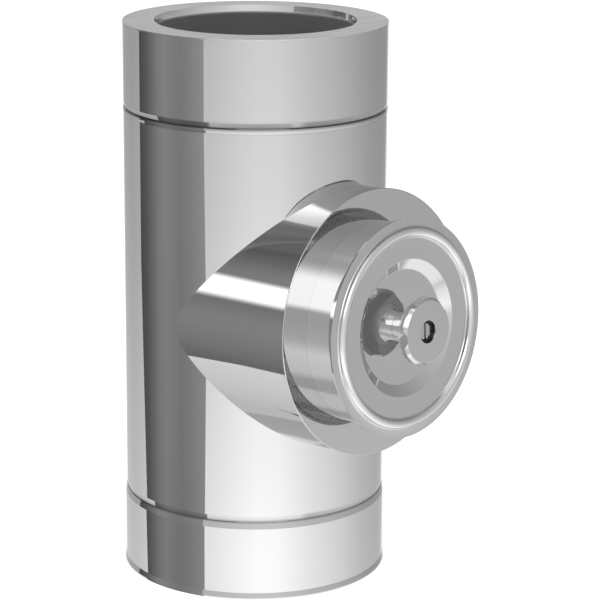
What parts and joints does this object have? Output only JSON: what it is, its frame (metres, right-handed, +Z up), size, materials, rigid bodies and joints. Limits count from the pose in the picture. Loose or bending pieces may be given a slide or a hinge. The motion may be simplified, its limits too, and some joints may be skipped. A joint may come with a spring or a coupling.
{
  "type": "flue inspection pipe",
  "caption": "Insulated twin-wall flue pipe with a side inspection branch closed by a pressed round lid, held by a star knob.",
  "frame": {"origin": "centre of the main pipe at its bottom rim, where the liner's spigot ends", "axes": "+Z up along the main pipe, towards the socket end; the inspection branch leaves towards -Y"},
  "size_m": [0.2038, 0.2789, 0.425],
  "materials": {
    "jacket_steel": "bright polished stainless sheet",
    "liner_steel": "bright stainless sheet",
    "end_ring_steel": "satin stainless sheet",
    "plate_steel": "mirror polished stainless sheet",
    "lid_steel": "bright pressed stainless sheet",
    "turned_steel": "turned stainless steel",
    "knob_steel": "polished metal",
    "gasket": "matt flat gasket",
    "seal": "matt soft seal",
    "mineral_wool": "pressed mineral wool"
  },
  "bodies": {
    "pipe": {"outer_jacket": "jacket_steel", "flue_liner": "liner_steel", "top_end_ring": "end_ring_steel", "bottom_end_ring": "end_ring_steel", "main_insulation": "mineral_wool", "branch_jacket": "jacket_steel", "branch_liner": "liner_steel", "branch_end_plate": "plate_steel", "branch_insulation": "mineral_wool"},
    "lid": {"lid_cover": "lid_steel", "lid_gasket": "gasket", "lid_pan": "liner_steel", "lid_insulation": "mineral_wool", "spindle_sleeve": "turned_steel", "seal_ring": "seal"},
    "knob": {"star_knob": "knob_steel"},
    "clamp": {"clamp_plate": "liner_steel", "clamp_spindle": "turned_steel", "spindle_washer": "turned_steel", "spindle_nut": "turned_steel"}
  },
  "joints": [
    {"name": "lid_lift_off", "type": "slide", "parent": "pipe", "child": "lid", "axis": [0, -0.9986, 0.0523], "range_m": [0, 0.12]},
    {"name": "knob_turn", "type": "hinge", "parent": "lid", "child": "knob", "pos_m": [0, -0.1505, 0.21489], "axis": [0, -0.9986, 0.0523], "range_deg": [0, 1440]},
    {"name": "clamp_travel", "type": "slide", "parent": "lid", "child": "clamp", "axis": [0, -0.9986, 0.0523], "range_m": [-0.008, 0]}
  ],
  "couplings": [
    {"joint": "knob_turn", "follows": "clamp_travel", "rad_per_m": -3141.6}
  ]
}
